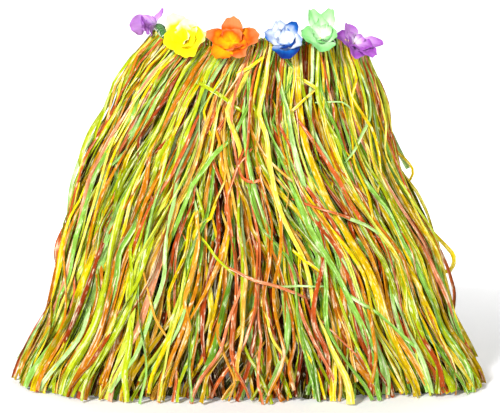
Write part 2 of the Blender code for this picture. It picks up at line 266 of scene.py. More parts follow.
FLOWER_CLEARANCE = 0.0005
FLOWERS = (
    # node, slot, turn, tilt above level and turn of the face towards the front, in degrees,
    # colours from the throat through the middle and the tip to the edge, and the petals
    ("flower_purple_left", "petal_purple", (-84.0, 40.0, 14.0),
     ((0.72, 0.52, 0.84), (0.62, 0.32, 0.74), (0.48, 0.18, 0.62), (0.28, 0.05, 0.42)),
     (
        # tip's place along, up and out, width in millimetres, twist in degrees, shift of colour
        (2, -19.2, 19.6, 22, 78, -0.1),
        (8, -9.3, 11.9, 22, 78, 0.1),
        (6, -12.2, -2.2, 15, 45, -0.05),
        (-8, 22.3, 2.1, 9, 20, -0.1),
        (-18, 1.4, 5.1, 17, 0, 0),
     )),
    ("flower_yellow", "petal_yellow", (-44.0, 32.0, 20.0),
     ((0.95, 0.66, 0.00), (0.96, 0.82, 0.00), (0.98, 0.88, 0.01), (0.98, 0.95, 0.50)),
     (
        (8.9, -22.4, 7, 27, 0, -0.15),
        (23, -1, 10, 25, 10, -0.05),
        (-21.5, -2, 6, 24, -10, -0.2),
        (-16, 25, 13, 24, 0, 0.22),
        (7.1, 19.7, 12, 22, 0, 0.28),
     )),
    ("flower_orange", "petal_orange", (-15.5, 22.0, 0.0),
     ((0.95, 0.62, 0.00), (0.91, 0.40, 0.00), (0.79, 0.085, 0.00), (0.76, 0.20, 0.06)),
     (
        (0, 23.5, 11, 22, 0, 0.24),
        (28, 3.2, 9, 25, -12, 0.04),
        (13.7, -17.8, 8, 22, 8, 0.12),
        (-16.6, -18.9, 8, 24, 0, -0.18),
        (-26, 5.7, 11, 17, 0, 0.08),
     )),
    ("flower_blue", "petal_blue", (10.5, 20.0, 0.0),
     ((0.84, 0.88, 0.94), (0.80, 0.86, 0.94), (0.004, 0.11, 0.42), (0.002, 0.03, 0.22)),
     (
        (1, -20.8, 9, 28, 0, 0.22),
        (16.9, -3.8, 10, 18, 0, -0.28),
        (11.7, 16.7, 12, 15, 0, -0.06),
        (-7.2, 18.5, 10, 18, 0, -0.32),
        (-20.5, 5.7, 10, 17, 0, -0.14),
     )),
    ("flower_mint", "petal_mint", (31.0, 36.0, -8.0),
     ((0.86, 0.93, 0.84), (0.70, 0.90, 0.62), (0.30, 0.74, 0.24), (0.22, 0.62, 0.20)),
     (
        (-3.9, -20.9, 8, 28, 0, 0.1),
        (15.4, 0.7, 9, 18, 0, 0),
        (12.6, 28, 13, 17, 0, -0.06),
        (-8.8, 28, 13, 17, 0, -0.04),
        (-22.5, -1.2, 8, 23, 0, 0.05),
     )),
    ("flower_purple_right", "petal_purple", (57.0, 32.0, -8.0),
     ((0.86, 0.76, 0.90), (0.57, 0.27, 0.66), (0.33, 0.06, 0.44), (0.38, 0.10, 0.50)),
     (
        (-15, -20.7, 8, 22, 0, 0.1),
        (7.9, -23.2, 13, 22, 0, 0.06),
        (26.1, -7.3, 14, 14, 0, -0.2),
        (-6, 21.2, 6, 20, 0, -0.25),
        (-25.3, 6.4, 5, 20, 0, 0.04),
     )),
)
# The throat's place on the cord, up and inwards, as shares of the cord's half height and depth.
FLOWER_SEAT = (0.5, 0.2)
PETAL_THICK = 0.0003
PETAL_COLUMNS = 17
PETAL_ROWS = 15
PETAL_FILL = 0.72
INNER_PETAL_REACH = 0.66
INNER_PETAL_WIDTH = 0.72
INNER_PETAL_FORWARD = 0.0030
SHORTEST_INNER_PETAL = 0.0065
PETAL_CUP = 0.10
PETAL_WAVE = 0.0011
PETAL_RUFFLE = 0.0006
PETAL_SKEW = 0.0005
PETAL_CREASE = 0.0010
PETAL_SIDE_CREASE = 0.0004

CAMERA_PLACE = (-0.0226, -1.3725, 0.3503)
CAMERA_PITCH = 6.77
CAMERA_TURN = 1.04
FOCAL_PIXELS = 1264.7
PHOTO_WIDE = 500
SENSOR_WIDE = 36.0
LIGHTS = (
    # name, place, target, size, watts
    ("key", (-1.55, -2.4, 2.0), (0.0, 0.0, 0.2), (0.5, 0.5), 134.0),
    ("fill", (1.3, -1.3, 0.8), (0.0, 0.0, 0.2), (0.5, 0.5), 9.0),
    ("top", (0.0, 0.6, 1.7), (0.0, 0.0, 0.1), (1.2, 0.8), 11.0),
)
WORLD_LIGHT = 0.08
SHARP_ANGLE = 60.0

SEED = 20


def eased(share):
    return 0.5 - 0.5 * np.cos(np.pi * share)


def smooth_step(value, low, high):
    share = np.clip((value - low) / (high - low), 0.0, 1.0)
    return share * share * (3.0 - 2.0 * share)


def mix(start, end, share):
    return start + (end - start) * share


def unit(vectors):
    return vectors / np.linalg.norm(vectors, axis=-1, keepdims=True)


def run_along(path):
    """The distance along a path at each of its points."""
    return np.concatenate([[0.0], np.cumsum(np.linalg.norm(np.diff(path, axis=0), axis=1))])


def wall_quads(near, far):
    """Quads between rings of point numbers and the next rings."""
    corners = [near, far, np.roll(far, -1, axis=1), np.roll(near, -1, axis=1)]
    return np.stack(corners, axis=-1).reshape(-1, 4)


def section(height):
    """The outline's left, right, front and back edges, on a smooth curve through the table."""
    heights = SECTIONS[:, 0]
    last = len(heights) - 1
    row = np.clip(np.searchsorted(heights, height, side="right") - 1, 0, last - 1)
    share = ((height - heights[row]) / (heights[row + 1] - heights[row]))[:, None]
    p0 = SECTIONS[np.maximum(row - 1, 0), 1:]
    p1 = SECTIONS[row, 1:]
    p2 = SECTIONS[row + 1, 1:]
    p3 = SECTIONS[np.minimum(row + 2, last), 1:]
    bend = (2 * p0 - 5 * p1 + 4 * p2 - p3) * share**2 + (3 * p1 - p0 - 3 * p2 + p3) * share**3
    return 0.5 * (2 * p1 + (p2 - p0) * share + bend)


def cord_height(turn):
    degrees = (np.degrees(turn) + 180.0) % 360.0 - 180.0
    row = np.clip(np.searchsorted(CORD_LIFTS[:, 0], degrees) - 1, 0, len(CORD_LIFTS) - 2)
    start, end = CORD_LIFTS[row], CORD_LIFTS[row + 1]
    share = (degrees - start[:, 0]) / (end[:, 0] - start[:, 0])
    return CORD_HEIGHT + mix(start[:, 1], end[:, 1], eased(share))


def fold(turn, height):
    return sum((1.0 - height) * deep * np.sin(count * turn + phase) for count, deep, phase in FOLDS)


def squared(wave, power):
    return np.sign(wave) * np.abs(wave) ** power


def frame_at(turn, height, inset):
    """Points inside the outline, the level direction along it and the one out of it."""
    turn, height, inset = np.broadcast_arrays(
        np.atleast_1d(turn).astype(float), np.atleast_1d(height).astype(float), inset
    )
    inside = np.clip(height, 0.0, 1.0)
    left, right, front, back = section(inside).T
    half_wide, half_deep = 0.5 * (right - left), 0.5 * (back - front)
    power = 2.0 / (2.0 + HEM_SQUARENESS * (1.0 - smooth_step(inside, 0.0, 0.6)))
    sine, cosine = squared(np.sin(turn), power), squared(np.cos(turn), power)
    steep_sine, steep_cosine = squared(np.sin(turn), 2.0 - power), squared(np.cos(turn), 2.0 - power)
    out = unit(np.stack([steep_sine / half_wide, -steep_cosine / half_deep, np.zeros_like(sine)], axis=1))
    along = np.stack([-out[:, 1], out[:, 0], out[:, 2]], axis=1)
    x = 0.5 * (left + right) + half_wide * sine
    y = 0.5 * (front + back) - half_deep * cosine
    spot = np.stack([x, y, height * cord_height(turn)], axis=1)
    return spot + out * (fold(turn, inside) - inset)[:, None], along, out


def even_turns(steps=720):
    """The share of the way round at each of many even turns, at half height."""
    turns = np.linspace(0.0, TAU, steps + 1)
    spots = frame_at(turns, 0.5, 0.0)[0][:, :2]
    lengths = run_along(spots)
    return lengths / lengths[-1], turns, lengths[-1]


EVEN_SHARES, EVEN_TURNS, HALF_WAY_ROUND = even_turns()


def turn_at(share):
    whole = np.floor(share)
    return np.interp(share - whole, EVEN_SHARES, EVEN_TURNS) + TAU * whole


def share_at(degrees):
    turn = math.radians(degrees) % TAU
    return float(np.interp(turn, EVEN_TURNS, EVEN_SHARES))


def wall_inset(height):
    return mix(WALL_INSET_AT_CORD, WALL_INSET_AT_HEM, 1.0 - np.clip(height, 0.0, 1.0))


class Field:
    """Smooth noise over the way round and the height, the same for neighbouring ribbons."""

    def __init__(self, rng, rounds, rises, terms=9):
        self.rounds = rng.integers(rounds[0], rounds[1] + 1, terms) * rng.choice((-1, 1), terms)
        self.rises = rng.uniform(rises[0], rises[1], terms)
        self.phases = rng.uniform(0.0, TAU, terms)
        self.scale = math.sqrt(2.0 / terms)

    def __call__(self, share, height):
        angle = TAU * (np.multiply.outer(share, self.rounds) + np.multiply.outer(height, self.rises))
        return self.scale * np.sin(angle + self.phases).sum(axis=-1)


def kinked(rng, stations, spacing, reach):
    """Random offsets at uneven intervals, joined by nearly straight runs with soft corners."""
    low_spacing, high_spacing = spacing
    knots = [0.0]
    while knots[-1] < 1.0:
        knots.append(knots[-1] + rng.uniform(low_spacing, high_spacing))
    values = rng.normal(0.0, 1.0, len(knots))
    values[0] = 0.0
    fine = np.interp(stations, knots, values)
    padded = np.concatenate([fine[:1], fine, fine[-1:]])
    return reach * (0.06 * padded[:-2] + 0.88 * fine + 0.06 * padded[2:])


class Ribbons:
    """Many closed film ribbons gathered into one mesh."""

    def __init__(self, columns):
        self.columns = columns
        self.points, self.faces, self.uvs, self.tints = [], [], [], []
        self.count = 0
        self.flat_area = 0.0
        self.ribbons = 0

    def add(self, path, wide, along, roll, cut_width, pleat, tint):
        """One ribbon on a path, turned by roll about it, with its cut width folded into wide."""
        stations = len(path)
        ahead = unit(np.gradient(path, axis=0))
        across = unit(along - ahead * (along * ahead).sum(axis=1, keepdims=True))
        face = np.cross(across, -ahead)
        cos_roll, sin_roll = np.cos(roll)[:, None], np.sin(roll)[:, None]
        across, face = across * cos_roll + face * sin_roll, face * cos_roll - across * sin_roll
        columns = np.linspace(-1.0, 1.0, self.columns)
        heights = np.interp(columns, np.linspace(-1.0, 1.0, 5), pleat)
        rise = np.abs(np.diff(heights)).mean()
        facet = cut_width / (self.columns - 1)
        span = wide / (self.columns - 1)
        deep = np.sqrt(np.maximum(facet**2 - span**2, 0.0)) / max(rise, 0.3)
        deep = np.minimum(deep, MOST_PLEAT)[:, None]
        shape = (heights - heights.mean())[None, :] * deep
        sides = columns[None, :] * (0.5 * wide)[:, None]
        middle = path[:, None, :] + across[:, None, :] * sides[:, :, None]
        middle = middle + face[:, None, :] * shape[:, :, None]
        half = 0.5 * RIBBON_THICK * face[:, None, :]
        ring = np.concatenate([middle + half, (middle - half)[:, ::-1]], axis=1)
        ring[:, :, 2] = np.maximum(ring[:, :, 2], 0.0)
        around = 2 * self.columns
        start = self.count
        index = start + np.arange(stations * around).reshape(stations, around)
        ends = []
        for row, flip in ((index[0], False), (index[-1], True)):
            for column in range(self.columns - 1):
                quad = (row[column], row[column + 1], row[around - 2 - column], row[around - 1 - column])
                ends.append(quad[::-1] if flip else quad)
        run = run_along(path)
        flat = np.linspace(0.0, cut_width, self.columns)
        flat_ring = np.concatenate([flat, flat[::-1]]) + 0.05 * self.ribbons
        uv = np.stack(np.broadcast_arrays(flat_ring[None, :], run[:, None]), axis=-1)
        self.points.append(ring.reshape(-1, 3))
        self.faces.append(wall_quads(index[:-1], index[1:]))
        self.faces.append(np.array(ends))
        self.uvs.append(uv.reshape(-1, 2))
        self.tints.append(np.full(stations * around, tint))
        self.count += stations * around
        self.flat_area += cut_width * run[-1]
        self.ribbons += 1

    def build(self, name):
        return mesh_object(
            name,
            np.concatenate(self.points),
            np.concatenate(self.faces),
            uv=np.concatenate(self.uvs),
            tint=np.concatenate(self.tints),
        )


def mesh_object(name, points, quads, uv=None, tint=None):
    """An object from arrays of points and quads, with UVs and a tint for each point."""
    mesh = bpy.data.meshes.new(name)
    mesh.vertices.add(len(points))
    mesh.vertices.foreach_set("co", points.astype(np.float32).ravel())
    mesh.loops.add(4 * len(quads))
    mesh.loops.foreach_set("vertex_index", quads.astype(np.int32).ravel())
    mesh.polygons.add(len(quads))
    mesh.polygons.foreach_set("loop_start", np.arange(0, 4 * len(quads), 4, dtype=np.int32))
    if uv is not None:
        layer = mesh.uv_layers.new(name="flat")
        layer.data.foreach_set("uv", uv[quads.ravel()].astype(np.float32).ravel())
    if tint is not None:
        attribute = mesh.attributes.new("tint", "FLOAT", "POINT")
        attribute.data.foreach_set("value", tint.astype(np.float32))
    mesh.update(calc_edges=True)
    mesh.validate()
    mesh.shade_smooth()
    mesh.set_sharp_from_angle(angle=math.radians(SHARP_ANGLE))
    obj = bpy.data.objects.new(name, mesh)
    bpy.context.scene.collection.objects.link(obj)
    return obj


# Materials

class Nodes:
    """Short calls for building a material's node tree."""

    def __init__(self, name):
        self.material = bpy.data.materials.new(name)
        self.material.use_nodes = True
        self.tree = self.material.node_tree
        self.shader = self.tree.nodes["Principled BSDF"]

    def add(self, kind, **settings):
        node = self.tree.nodes.new(kind)
        for key, value in settings.items():
            setattr(node, key, value)
        return node

    def link(self, source, target):
        self.tree.links.new(source, target)

    def scaled_uv(self, across, along):
        """The flat position on a ribbon or petal, in metres, stretched by these scales."""
        uv = self.add("ShaderNodeUVMap", uv_map="flat")
        mapping = self.add("ShaderNodeMapping")
        mapping.inputs["Scale"].default_value = (across, along, 1.0)
        self.link(uv.outputs["UV"], mapping.inputs["Vector"])
        return mapping.outputs["Vector"]

    def noise(self, vector, detail=2.0, roughness=0.5):
        node = self.add("ShaderNodeTexNoise")
        node.inputs["Scale"].default_value = 1.0
        node.inputs["Detail"].default_value = detail
        node.inputs["Roughness"].default_value = roughness
        self.link(vector, node.inputs["Vector"])
        return node.outputs["Fac"]

    def ramp(self, value, stops):
        node = self.add("ShaderNodeValToRGB")
        elements = node.color_ramp.elements
        while len(elements) < len(stops):
            elements.new(0.5)
        for element, (place, colour) in zip(elements, stops):
            element.position = place
            element.color = (*colour, 1.0)
        self.link(value, node.inputs["Fac"])
        return node.outputs["Color"]

    def range(self, value, low, high, to_low, to_high):
        node = self.add("ShaderNodeMapRange", clamp=True)
        for key, number in zip(("From Min", "From Max", "To Min", "To Max"), (low, high, to_low, to_high)):
            node.inputs[key].default_value = number
        self.link(value, node.inputs["Value"])
        return node.outputs["Result"]

    def plus(self, first, second):
        node = self.add("ShaderNodeMath", operation="ADD")
        self.link(first, node.inputs[0])
        self.link(second, node.inputs[1])
        return node.outputs["Value"]

    def blend(self, share, first, second, mode="MIX"):
        node = self.add("ShaderNodeMix", data_type="RGBA", blend_type=mode)
        colours = [s for s in node.inputs if s.type == "RGBA"]
        numbers = [s for s in node.inputs if s.type == "VALUE" and s.name == "Factor"]
        factor, (a, b) = numbers[0], colours
        if isinstance(share, (int, float)):
            factor.default_value = share
        else:
            self.link(share, factor)
        for socket, value in ((a, first), (b, second)):
            if isinstance(value, tuple):
                socket.default_value = (*value, 1.0)
            else:
                self.link(value, socket)
        return [s for s in node.outputs if s.type == "RGBA"][0]

    def bump(self, height, strength, distance, before=None):
        node = self.add("ShaderNodeBump")
        node.inputs["Strength"].default_value = strength
        node.inputs["Distance"].default_value = distance
        self.link(height, node.inputs["Height"])
        if before is not None:
            self.link(before, node.inputs["Normal"])
        return node.outputs["Normal"]

    def attribute(self, name):
        node = self.add("ShaderNodeAttribute", attribute_name=name)
        return node.outputs["Fac"]


def film_material(name, tints):
    """Raffia film: fine fibre lines along the ribbon and cross crinkles drawn in painted shade, dark
    streaks, patches and flecks of painted shade, and pale streaks, patches and flecks that are painted
    highlight as well as stretched film.
    """
    make = Nodes(name)
    tint = make.attribute("tint")
    stops = [(i / (len(tints) - 1), colour) for i, colour in enumerate(tints)]
    base = make.ramp(tint, stops)
    fibre = make.noise(make.scaled_uv(1900.0, 22.0), detail=3.0, roughness=0.62)
    streak = make.noise(make.scaled_uv(420.0, 14.0), detail=2.0)
    patch = make.noise(make.scaled_uv(160.0, 55.0), detail=2.0)
    fleck = make.noise(make.scaled_uv(360.0, 85.0), detail=2.0, roughness=0.6)
    crinkle = make.noise(make.scaled_uv(230.0, 640.0), detail=2.0, roughness=0.6)
    # A darker, browner copy of the colour: painted shade, laid in fibre lines, crinkles, streaks, patches
    # and flecks.
    dark = make.blend(1.0, base, (0.54, 0.45, 0.25), mode="MULTIPLY")
    # A paler copy of the colour: painted highlight, with the pale streaks also standing for stretched film.
    pale = make.blend(0.72, base, (1.0, 1.0, 0.70))
    painted_light_marks = (
        # noise, the values between which the mark's share changes, that share at both, and its colour: dark
        # for painted shade, pale for painted highlight and stretched film
        (fibre, 0.36, 0.60, 0.70, 0.0, dark),
        (streak, 0.59, 0.67, 0.0, 0.88, pale),
        (streak, 0.28, 0.44, 0.75, 0.0, dark),
        (patch, 0.30, 0.46, 0.65, 0.0, dark),
        (patch, 0.59, 0.71, 0.0, 0.55, pale),
        (fleck, 0.59, 0.66, 0.0, 0.78, pale),
        (fleck, 0.34, 0.46, 0.72, 0.0, dark),
        (crinkle, 0.60, 0.72, 0.0, 0.60, dark),
    )
    colour = base
    for noise, *limits, shade in painted_light_marks:
        colour = make.blend(make.range(noise, *limits), colour, shade)
    make.link(colour, make.shader.inputs["Base Color"])
    make.link(make.range(fibre, 0.3, 0.7, 0.46, 0.30), make.shader.inputs["Roughness"])
    normal = make.bump(fibre, 0.55, 0.00012)
    normal = make.bump(crinkle, 0.60, 0.00030, before=normal)
    normal = make.bump(fleck, 0.50, 0.00060, before=normal)
    make.link(normal, make.shader.inputs["Normal"])
    make.shader.inputs["Specular IOR Level"].default_value = 0.05
    return make.material


def petal_material(name, throat, middle, tip, edge):
    """Dyed polyester cloth: the colour runs from the throat to the tip, over a fine weave."""
    make = Nodes(name)
    reach = make.attribute("tint")
    wander = make.noise(make.scaled_uv(70.0, 70.0), detail=2.0)
    place = make.plus(reach, make.range(wander, 0.3, 0.7, -0.13, 0.13))
    colour = make.ramp(place, ((0.0, throat), (0.38, middle), (0.80, tip), (1.0, edge)))
    weave = make.noise(make.scaled_uv(2600.0, 2600.0), detail=1.0)
    vein = make.noise(make.scaled_uv(500.0, 60.0), detail=2.0)
    shade = make.blend(1.0, colour, (0.86, 0.86, 0.90), mode="MULTIPLY")
    colour = make.blend(make.range(vein, 0.40, 0.62, 0.45, 0.0), colour, shade)
    make.link(colour, make.shader.inputs["Base Color"])
    make.link(make.range(weave, 0.3, 0.7, 0.72, 0.60), make.shader.inputs["Roughness"])
    normal = make.bump(weave, 0.35, 0.00010)
    normal = make.bump(vein, 0.40, 0.00035, before=normal)
    make.link(normal, make.shader.inputs["Normal"])
    make.shader.inputs["Sheen Weight"].default_value = 0.08
    make.shader.inputs["Sheen Roughness"].default_value = 0.5
    make.shader.inputs["Specular IOR Level"].default_value = 0.08
    return make.material


def thread_material(name, dark, light, twist_scale):
    """Spun thread: plies that run slantwise round it, with a soft nap."""
    make = Nodes(name)
    ply = make.noise(make.scaled_uv(twist_scale, 900.0), detail=2.0)
    fuzz = make.noise(make.scaled_uv(6000.0, 4000.0), detail=2.0)
    colour = make.ramp(ply, ((0.32, dark), (0.62, light)))
    make.link(colour, make.shader.inputs["Base Color"])
    make.link(make.range(fuzz, 0.3, 0.7, 0.85, 0.70), make.shader.inputs["Roughness"])
    normal = make.bump(ply, 0.6, 0.0003)
    normal = make.bump(fuzz, 0.3, 0.0001, before=normal)
    make.link(normal, make.shader.inputs["Normal"])
    make.shader.inputs["Sheen Weight"].default_value = 0.4
    make.shader.inputs["Sheen Roughness"].default_value = 0.5
    make.shader.inputs["Specular IOR Level"].default_value = 0.25
    return make.material


# Ribbons

sway_field = Field(np.random.default_rng(SEED + 1), (18, 44), (0.3, 1.6))
lift_field = Field(np.random.default_rng(SEED + 2), (16, 40), (0.6, 2.4))
group_rng = np.random.default_rng(SEED + 3)
group_places = (np.arange(GROUPS) + group_rng.uniform(-0.32, 0.32, GROUPS)) / GROUPS


def group_pull(share, height):
    """How far a ribbon is drawn sideways to its bundle's middle, in shares of the way round."""
    nearest = group_places[np.argmin(np.abs((group_places - share + 0.5) % 1.0 - 0.5))]
    distance = (nearest - share + 0.5) % 1.0 - 0.5
    strength = BUNCHING * smooth_step(1.0 - height, 0.01, 0.16)
    return distance * strength


def fan_drift(share, height):
    """How far back towards the parting a ribbon still is at this height, in shares of the way."""
    away = (share - share_at(PARTING) + 0.5) % 1.0 - 0.5
    reach = FAN_REACH / HALF_WAY_ROUND * math.sin(math.pi * min(abs(away) / FAN_WIDE, 1.0))
    return -math.copysign(reach, away) * (1.0 - smooth_step(1.0 - height, FAN_START, FAN_END))


def trimmed(turn, height):
    """How much closer to the wearer than the outline the ribbons hang, by the table of trims."""
    total = np.zeros_like(height)
    for place, wide, level, tall, deep in TRIMS:
        away = (turn - math.radians(place) + math.pi) % TAU - math.pi
        near = np.exp(-((away / math.radians(wide)) ** 2) - ((height - level) / tall) ** 2)
        total = total + deep * MM * near
    return total


def ribbon_path(rng, share, depth, stations, tip):
    """A hanging ribbon's path, from under the cord to its cut tip, and its level direction."""
    down = np.linspace(0.0, 1.0, stations) ** 0.93
    height = mix(0.993, tip / CORD_HEIGHT, down)
    upper = smooth_step(height, 0.30, 0.75)
    slant = float(np.clip(rng.normal(0.0, SLANT_SPREAD), -MOST_SLANT, MOST_SLANT))
    wild = min(math.exp(rng.normal(0.0, WILD_SPREAD)), MOST_WILD)
    sideways = wild * kinked(rng, down, SHORT_BENDS, SHORT_BEND_REACH) * mix(0.40, 1.0, upper)
    sideways += kinked(rng, down, LONG_BENDS, LONG_BEND_REACH)
    sideways += rng.normal(0.0, TIP_SWING) * smooth_step(down, 0.84, 1.0)
    sideways += slant * down**1.3
    sideways += SWAY * sway_field(share, height) * smooth_step(1.0 - height, 0.0, 0.4)
    sideways *= smooth_step(down, 0.0, 0.05)
    shares = share + sideways / HALF_WAY_ROUND + group_pull(share, height) + fan_drift(share, height)
    room = wall_inset(height) - WALL_ROOM
    bulge = LIFT * lift_field(share, height) + wild * kinked(rng, down, OUTWARD_BENDS, OUTWARD_REACH)
    bulge *= smooth_step(down, 0.02, 0.15)
    inset = mix(OUTERMOST_INSET, room, depth) + bulge
    turn = turn_at(shares)
    splay = mix(SIDE_SPLAY, FRONT_SPLAY, np.cos(turn) ** 2)
    inset -= np.clip(1.0 - depth, 0.0, 1.0) * splay * rng.random() * smooth_step(down, 0.70, 1.0) ** 2
    inset += trimmed(turn, height)
    spot, along, _ = frame_at(turn, height, inset)
    spot[:, 2] = np.maximum(spot[:, 2], LOWEST_TIP)
    return spot, along, down, shares[0]


def looped_start(path, along, rng, share):
    """Points that carry a ribbon from inside the cord over its top to its hanging run."""
    turn = turn_at(np.array([share]))
    middle, _, out = frame_at(turn, 1.0, CORD_INSET)
    middle, out = middle[0], out[0]
    angles = np.radians(np.linspace(215.0, -25.0, 9))
    lift = 0.0008 + rng.uniform(0.0, 0.0012)
    deep = CORD_HALF_DEEP + lift
    tall = CORD_HALF_TALL + lift
    over = middle + np.outer(np.cos(angles) * deep, out)
    over[:, 2] += np.sin(angles) * tall
    level = np.repeat(along[:1], len(over), axis=0)
    return np.concatenate([over, path[1:]]), np.concatenate([level, along[1:]])


def tip_height(rng, depth):
    """How far over the floor a ribbon is cut off: mostly close, a few much shorter."""
    if rng.random() < SHORT_CHANCE * (1.0 - depth):
        return rng.uniform(*SHORT_TIPS)
    return LOWEST_TIP + USUAL_TIP_LIFT * rng.random() ** 2.0


def ribbon_width(rng, down, upper_share, lower_share):
    opened = mix(upper_share, lower_share, smooth_step(down, 0.15, 0.75))
    opened = opened + kinked(rng, down, (0.08, 0.25), OPENED_REACH)
    gathered = mix(OPENED_AT_CORD, 1.0, smooth_step(down, 0.0, 0.07))
    return np.clip(opened * gathered, LEAST_OPENED, MOST_OPENED)


def add_outer_ribbon(bunch, rng, share, depth, widening):
    tip = tip_height(rng, depth)
    path, along, down, start_share = ribbon_path(rng, share, depth, OUTER_STATIONS, tip)
    cut = widening * mix(OUTERMOST_WIDER, 1.0, min(2.0 * depth, 1.0)) * rng.choice(CUTS, p=CUT_CHANCES)
    opened = ribbon_width(rng, down, rng.uniform(*UPPER_OPENED), rng.uniform(*LOWER_OPENED))
    roll = math.radians(rng.normal(0.0, ROLL_SPREAD))
    roll = roll + kinked(rng, down, (0.07, 0.22), math.radians(ROLL_REACH))
    turn = math.degrees(float(turn_at(start_share)))
    turn = (turn + 180.0) % 360.0 - 180.0
    bare = BARE_CORD[0] < turn < BARE_CORD[1]
    if depth < LOOPED_DEPTH and rng.random() < LOOPED_CHANCE and not bare:
        before = len(path)
        path, along = looped_start(path, along, rng, start_share)
        extra = len(path) - before
        opened = np.concatenate([np.full(extra, opened[0]), opened])
        roll = np.concatenate([np.linspace(0.0, roll[0], extra), roll])
    pleat = PLEATS[rng.choice(list(PLEATS))]
    pleat = pleat[::-1] if rng.random() < 0.5 else pleat
    # Deeper ribbons get darker tints: painted shade of the layers beneath.
    tint = rng.beta(mix(2.6, 1.5, depth), mix(1.5, 2.6, depth))
    bunch.add(path, cut * opened, along, roll, cut, pleat, tint)


def add_placed_ribbon(bunch, rng, wide, knots, to_front=False, free=False):
    """A short run of ribbon through turns in degrees, heights and distances out in millimetres.

    Its flat side looks outwards or to the front. Both its ends dip under the ribbons beside it, or
    only the first where the last is free.
    """
    knots = np.array(knots, dtype=float)
    turns, heights, outs = np.radians(knots[:, 0]), knots[:, 1], knots[:, 2] * MM
    spots = frame_at(turns, heights, -outs)[0]
    steps = np.linalg.norm(np.diff(spots, axis=0), axis=1)
    run = np.concatenate([[0.0], np.cumsum(steps)])
    for first, second, side in ((0, 1, -1),) if free else ((0, 1, -1), (-1, -2, 1)):
        more = DIP_LENGTH / steps[first]
        turns = place_end(turns, turns[first] + (turns[first] - turns[second]) * more, side)
        heights = place_end(heights, heights[first] + (heights[first] - heights[second]) * more, side)
        outs = place_end(outs, -DIP_DEPTH, side)
        run = place_end(run, run[first] + side * DIP_LENGTH, side)
        steps = place_end(steps, DIP_LENGTH, side)
    count = max(8, int((run[-1] - run[0]) / PLACED_SPACING))
    along_run = np.linspace(run[0], run[-1], count)
    turn, height, out = (np.interp(along_run, run, values) for values in (turns, heights, outs))
    out[1:-1] = 0.25 * out[:-2] + 0.5 * out[1:-1] + 0.25 * out[2:]
    share = np.linspace(0.0, 1.0, count)
    height = np.maximum(height + kinked(rng, share, (0.15, 0.3), 0.0035), 0.004)
    path, _, outward = frame_at(turn, height, trimmed(turn, height) - out)
    ahead = np.gradient(path, axis=0)
    across = unit(np.cross(ahead, TO_FRONT if to_front else outward))
    ends = share if free else np.minimum(share, 1.0 - share)
    opened = PLACED_OPENED + kinked(rng, share, (0.15, 0.4), 0.10)
    opened = np.clip(opened * mix(0.5, 1.0, smooth_step(ends, 0.0, 0.2)), 0.30, MOST_OPENED)
    roll = kinked(rng, share, (0.2, 0.5), math.radians(16.0))
    cut = wide * MM / PLACED_OPENED
    bunch.add(path, cut * opened, across, roll, cut, PLEATS["v"], rng.uniform(0.55, 0.95))


def place_end(values, value, side):
    return np.concatenate([[value], values]) if side < 0 else np.concatenate([values, [value]])


def spread_out(rng, count, richer):
    """Shares of the way round for one colour's ribbons, closer together where it is richer."""
    shares = np.linspace(0.0, 1.0, 1441)
    chance = np.ones_like(shares)
    for turn, wide, more in richer:
        away = (shares - share_at(turn) + 0.5) % 1.0 - 0.5
        chance += more * np.exp(-((360.0 * away / wide) ** 2))
    marks = (np.arange(count) + rng.uniform(0.0, 1.0, count)) / count
    return rng.permutation(np.interp(marks, np.cumsum(chance) / chance.sum(), shares))


def make_outer_ribbons():
    rng = np.random.default_rng(SEED)
    for name, (node, slot, count, widening, tints) in COLOURS.items():
        bunch = Ribbons(columns=5)
        for share in spread_out(rng, count, RICHER[name]):
            depth = rng.random() ** 0.9
            add_outer_ribbon(bunch, rng, share, depth, widening)
        for colour, wide, knots in CROSSINGS:
            if colour == name:
                over = [(*knot, CROSSING_OUT) for knot in knots]
                add_placed_ribbon(bunch, rng, CROSSING_NARROWER * wide, over)
        for rows, free in ((FLYAWAYS, False), (STRAY_ENDS, True)):
            for colour, wide, knots in rows:
                if colour == name:
                    add_placed_ribbon(bunch, rng, wide, knots, to_front=True, free=free)
        obj = bunch.build(f"ribbons_{name}")
        obj.data.materials.append(film_material(f"film_{name}", tints))
        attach(obj, "root")
        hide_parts(node)


def make_inner_ribbons():
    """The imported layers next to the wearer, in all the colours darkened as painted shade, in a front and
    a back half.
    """
    rng = np.random.default_rng(SEED + 9)
    # The darker three tints of each colour, dimmed further: painted shade where the inner layers lie in
    # shadow.
    tints = [
        tuple(INNER_PAINTED_SHADE * part for part in colour)
        for *_, entry in COLOURS.values() for colour in entry[:3]
    ]
    material = film_material("film_inner", tints)
    halves = {"front": Ribbons(columns=3), "back": Ribbons(columns=3)}
    for place in range(INNER_RIBBONS):
        share = (place + rng.uniform(0.0, 1.0)) / INNER_RIBBONS
        depth = rng.uniform(*INNER_DEPTHS)
        tip = LOWEST_TIP + 0.002 * rng.random()
        path, along, down, _ = ribbon_path(rng, share, depth, INNER_STATIONS, tip)
        cut = rng.uniform(*INNER_CUTS)
        opened = ribbon_width(rng, down, rng.uniform(0.55, 0.75), rng.uniform(0.80, 0.95))
        roll = math.radians(rng.normal(0.0, 8.0)) + kinked(rng, down, (0.1, 0.3), math.radians(8.0))
        half = "back" if 0.25 < share < 0.75 else "front"
        halves[half].add(path, cut * opened, along, roll, cut, PLEATS["v"], rng.random())
    nodes = {
        "front": [f"inner_ribbons_{i:02d}" for i in (1, 2, 3, 10, 11, 12)],
        "back": [f"inner_ribbons_{i:02d}" for i in (4, 5, 6, 7, 8, 9)],
    }
    for half, bunch in halves.items():
        obj = bunch.build(f"ribbons_inner_{half}")
        obj.data.materials.append(material)
        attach(obj, "root")
        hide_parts(*nodes[half])


# Waist cord

